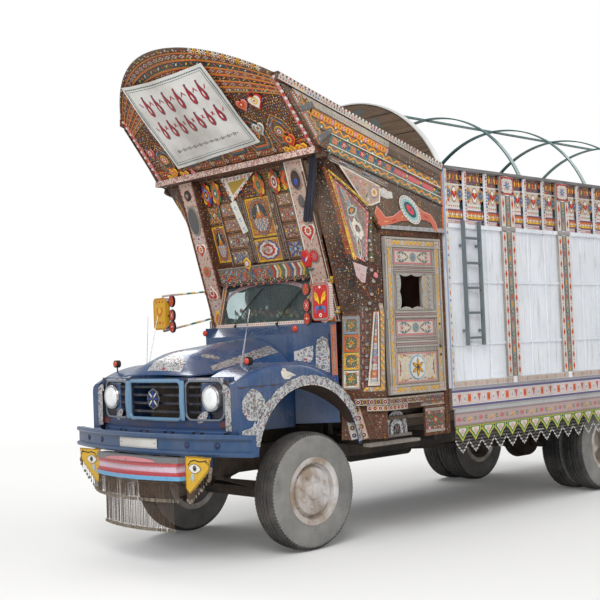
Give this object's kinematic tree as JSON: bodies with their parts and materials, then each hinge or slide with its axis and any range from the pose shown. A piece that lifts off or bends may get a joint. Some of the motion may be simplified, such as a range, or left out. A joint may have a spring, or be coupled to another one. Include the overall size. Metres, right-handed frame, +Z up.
{
  "type": "decorated high-sided truck",
  "caption": "Bonneted goods truck with a tall forward-leaning painted crown over the cab, a high-sided load body with roof hoops and hanging chain fringes.",
  "frame": {"origin": "middle of the truck's length and width, on the ground under the tyres", "axes": "+Z up, the front faces -Y, +X is the truck's left side"},
  "size_m": [2.5488, 7.8159, 4.38],
  "materials": {
    "chassis_steel": "dusty dark chassis paint",
    "tyre_rubber": "worn dusty tyre rubber",
    "wheel_silver": "silver wheel paint",
    "bumper_blue": "glossy blue enamel",
    "body_blue": "glossy dark blue enamel",
    "tray_paint": "pink, red and light blue enamel bands",
    "fringe_steel": "rust-brown chains",
    "board_yellow": "yellow painted board",
    "embossed_steel": "embossed bright sheet",
    "lamp_glass": "clear ribbed lamp glass",
    "window_glass": "dark dusty glass",
    "crown_board": "painted wood with small floral bands",
    "door_board": "painted wood with floral bands",
    "cab_wood": "dark varnished wood",
    "seat_cover": "red-brown vinyl",
    "white_panel": "white painted sheet with worn edges",
    "bare_wood": "weathered hardwood",
    "hoop_green": "green enamel strip",
    "skirt_board": "green and yellow scalloped sheet",
    "mirror_case": "red painted mirror case",
    "ladder_steel": "grey painted steel"
  },
  "bodies": {
    "truck": {"chassis_frame": "chassis_steel", "leaf_springs": "chassis_steel", "front_axle": "chassis_steel", "rear_axle": "chassis_steel", "engine_block": "chassis_steel", "propeller_shaft": "chassis_steel", "radiator": "chassis_steel", "fuel_tank": "chassis_steel", "exhaust": "chassis_steel", "front_bumper": "bumper_blue", "bumper_tray": "tray_paint", "tray_fringe": "fringe_steel", "eye_boards": "board_yellow", "grille_panel": "body_blue", "headlamps": "lamp_glass", "scuttle": "embossed_steel", "left_wing": "body_blue", "right_wing": "body_blue", "cab_floor": "cab_wood", "cab_back": "cab_wood", "cab_left_side": "crown_board", "cab_right_side": "crown_board", "cab_roof": "cab_wood", "windscreen_frame": "cab_wood", "windscreen_glass": "window_glass", "seats": "seat_cover", "dashboard": "cab_wood", "steering_wheel": "cab_wood", "crown_face": "crown_board", "side_boards": "crown_board", "crown_prow": "crown_board", "crown_left_cheek": "crown_board", "crown_right_cheek": "crown_board", "mirrors": "mirror_case", "side_steps": "crown_board", "body_floor": "bare_wood", "body_headboard": "bare_wood", "body_left_side": "white_panel", "body_right_side": "white_panel", "rear_board": "crown_board", "roof_hoops": "hoop_green", "ladder": "ladder_steel", "side_skirts": "skirt_board", "rear_bumper": "chassis_steel"},
    "left_knuckle": {"left_knuckle": "chassis_steel"},
    "right_knuckle": {"right_knuckle": "chassis_steel"},
    "tie_rod": {"tie_rod": "chassis_steel"},
    "left_front_wheel": {"left_front_tyre": "tyre_rubber", "left_front_rim": "wheel_silver"},
    "right_front_wheel": {"right_front_tyre": "tyre_rubber", "right_front_rim": "wheel_silver"},
    "left_rear_wheels": {"left_rear_tyres": "tyre_rubber", "left_rear_rims": "wheel_silver"},
    "right_rear_wheels": {"right_rear_tyres": "tyre_rubber", "right_rear_rims": "wheel_silver"},
    "left_door": {"left_door": "door_board"},
    "right_door": {"right_door": "door_board"},
    "bonnet": {"bonnet": "body_blue"},
    "tailgate": {"tailgate": "white_panel"}
  },
  "joints": [
    {"name": "left_steer", "type": "hinge", "parent": "truck", "child": "left_knuckle", "pos_m": [0.7, -2.64, 0.505], "axis": [0, 0, 1], "range_deg": [-30, 30]},
    {"name": "right_steer", "type": "hinge", "parent": "truck", "child": "right_knuckle", "pos_m": [-0.7, -2.64, 0.505], "axis": [0, 0, 1], "range_deg": [-30, 30]},
    {"name": "tie_rod_pivot", "type": "hinge", "parent": "left_knuckle", "child": "tie_rod", "pos_m": [0.7, -2.44, 0.47], "axis": [0, 0, 1], "range_deg": [-30, 30]},
    {"name": "left_front_roll", "type": "hinge", "parent": "left_knuckle", "child": "left_front_wheel", "pos_m": [0.842, -2.64, 0.505], "axis": [1, 0, 0], "continuous": true},
    {"name": "right_front_roll", "type": "hinge", "parent": "right_knuckle", "child": "right_front_wheel", "pos_m": [-0.842, -2.64, 0.505], "axis": [1, 0, 0], "continuous": true},
    {"name": "left_rear_roll", "type": "hinge", "parent": "truck", "child": "left_rear_wheels", "pos_m": [0.877, 1.76, 0.505], "axis": [1, 0, 0], "continuous": true},
    {"name": "right_rear_roll", "type": "hinge", "parent": "truck", "child": "right_rear_wheels", "pos_m": [-0.877, 1.76, 0.505], "axis": [1, 0, 0], "continuous": true},
    {"name": "left_door_hinge", "type": "hinge", "parent": "truck", "child": "left_door", "pos_m": [1.25, -1.935, 1.99], "axis": [0, 0, -1], "range_deg": [0, 70]},
    {"name": "right_door_hinge", "type": "hinge", "parent": "truck", "child": "right_door", "pos_m": [-1.25, -1.935, 1.99], "axis": [0, 0, 1], "range_deg": [0, 70]},
    {"name": "bonnet_hinge", "type": "hinge", "parent": "truck", "child": "bonnet", "pos_m": [0, -2.522, 1.848], "axis": [-1, 0, 0], "range_deg": [0, 50]},
    {"name": "tailgate_hinge", "type": "hinge", "parent": "truck", "child": "tailgate", "pos_m": [0, 3.863, 1.299], "axis": [-1, 0, 0], "range_deg": [0, 90]}
  ],
  "couplings": [
    {"joint": "right_steer", "follows": "left_steer", "ratio": 1},
    {"joint": "tie_rod_pivot", "follows": "left_steer", "ratio": -1}
  ]
}
